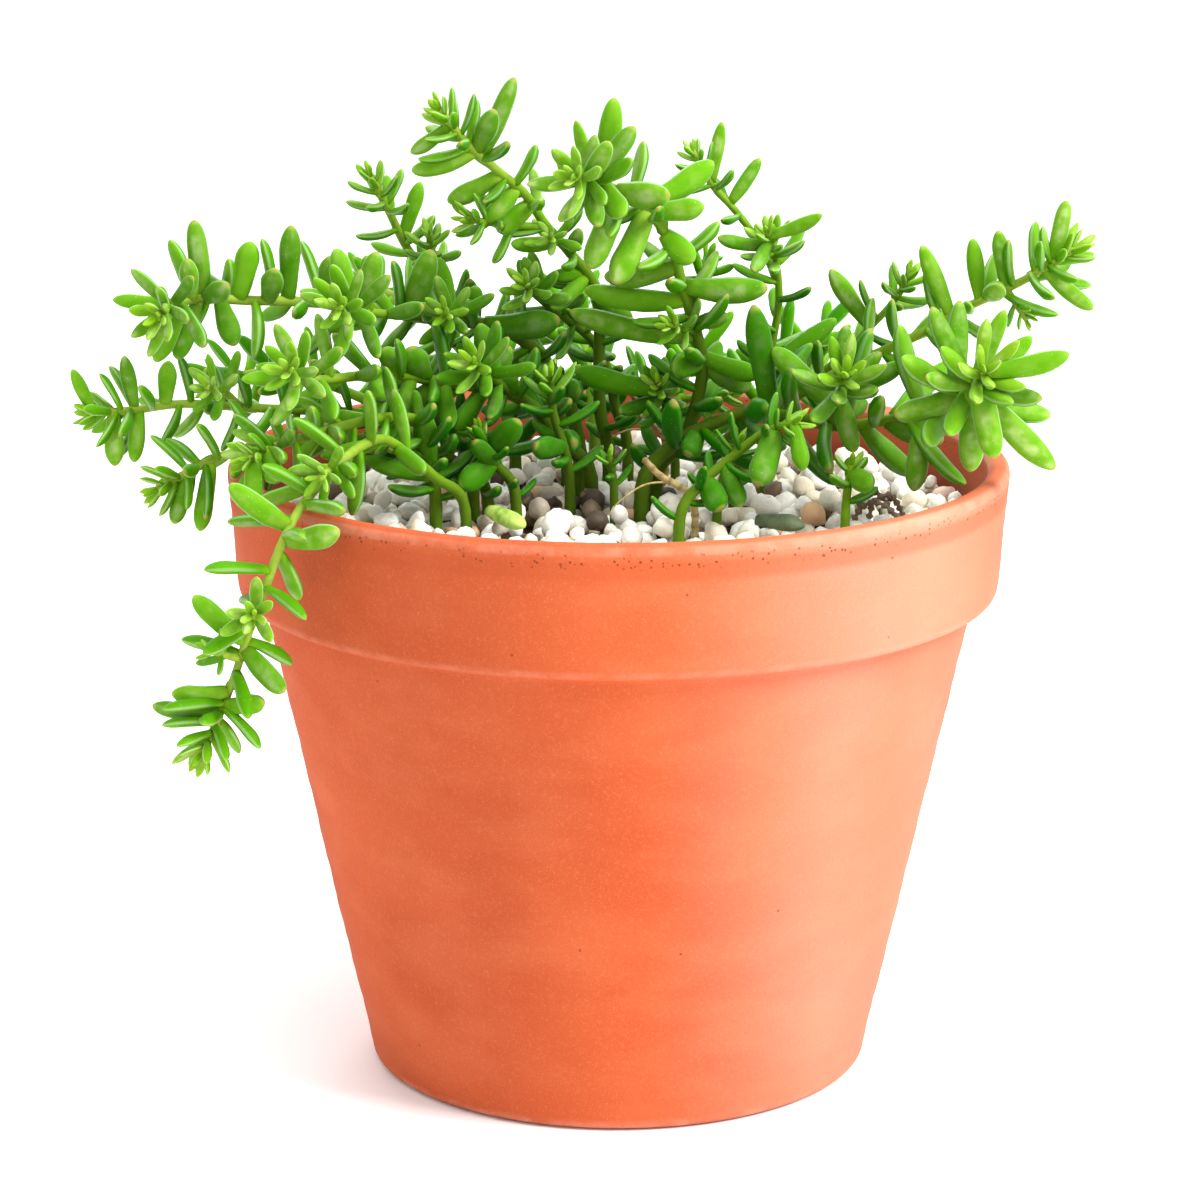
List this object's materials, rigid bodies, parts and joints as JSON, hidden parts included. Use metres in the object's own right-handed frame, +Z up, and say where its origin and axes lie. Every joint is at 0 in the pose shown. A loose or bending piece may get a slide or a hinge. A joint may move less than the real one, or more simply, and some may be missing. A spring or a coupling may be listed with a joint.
{
  "type": "potted sedum",
  "caption": "Leafy sedum stems arching and trailing from a tapered clay pot with a rolled collar, soil and pale gravel.",
  "frame": {"origin": "middle of the pot's flat underside", "axes": "+Z up along the pot's axis; -Y is the front that the picture shows; +X to the right seen from the front"},
  "size_m": [0.2068, 0.1843, 0.2038],
  "materials": {
    "terracotta": "matte unglazed clay with fine pits",
    "soil": "dark damp potting soil",
    "gravel": "rounded white, cream and tan pebbles",
    "leaf": "fleshy green leaves with a waxy sheen and yellow green stems",
    "dry_stem": "dry tan dead stem",
    "fallen_leaf": "fading fallen leaf"
  },
  "bodies": {
    "root": {"clay_pot": "terracotta", "dry_twig_back": "dry_stem", "dry_twig_front": "dry_stem", "fallen_leaf_dark": "fallen_leaf", "fallen_leaf_pale": "fallen_leaf", "gravel_dressing": "gravel", "potting_soil": "soil", "shoot_back_centre": "leaf", "shoot_back_left": "leaf", "shoot_back_right": "leaf", "shoot_centre_back": "leaf", "shoot_centre_front": "leaf", "shoot_far_left": "leaf", "shoot_far_right": "leaf", "shoot_front_left": "leaf", "shoot_front_right": "leaf", "shoot_front_small": "leaf", "shoot_gravel_centre": "leaf", "shoot_gravel_left": "leaf", "shoot_gravel_middle": "leaf", "shoot_gravel_right": "leaf", "shoot_lower_left": "leaf", "shoot_mid_left": "leaf", "shoot_right": "leaf", "shoot_right_back": "leaf", "shoot_side_left": "leaf", "shoot_top_centre": "leaf", "shoot_top_left": "leaf", "shoot_top_small_left": "leaf", "shoot_trailing": "leaf", "shoot_trailing_back": "leaf", "shoot_upper_left": "leaf", "shoot_upper_right": "leaf"}
  },
  "joints": []
}
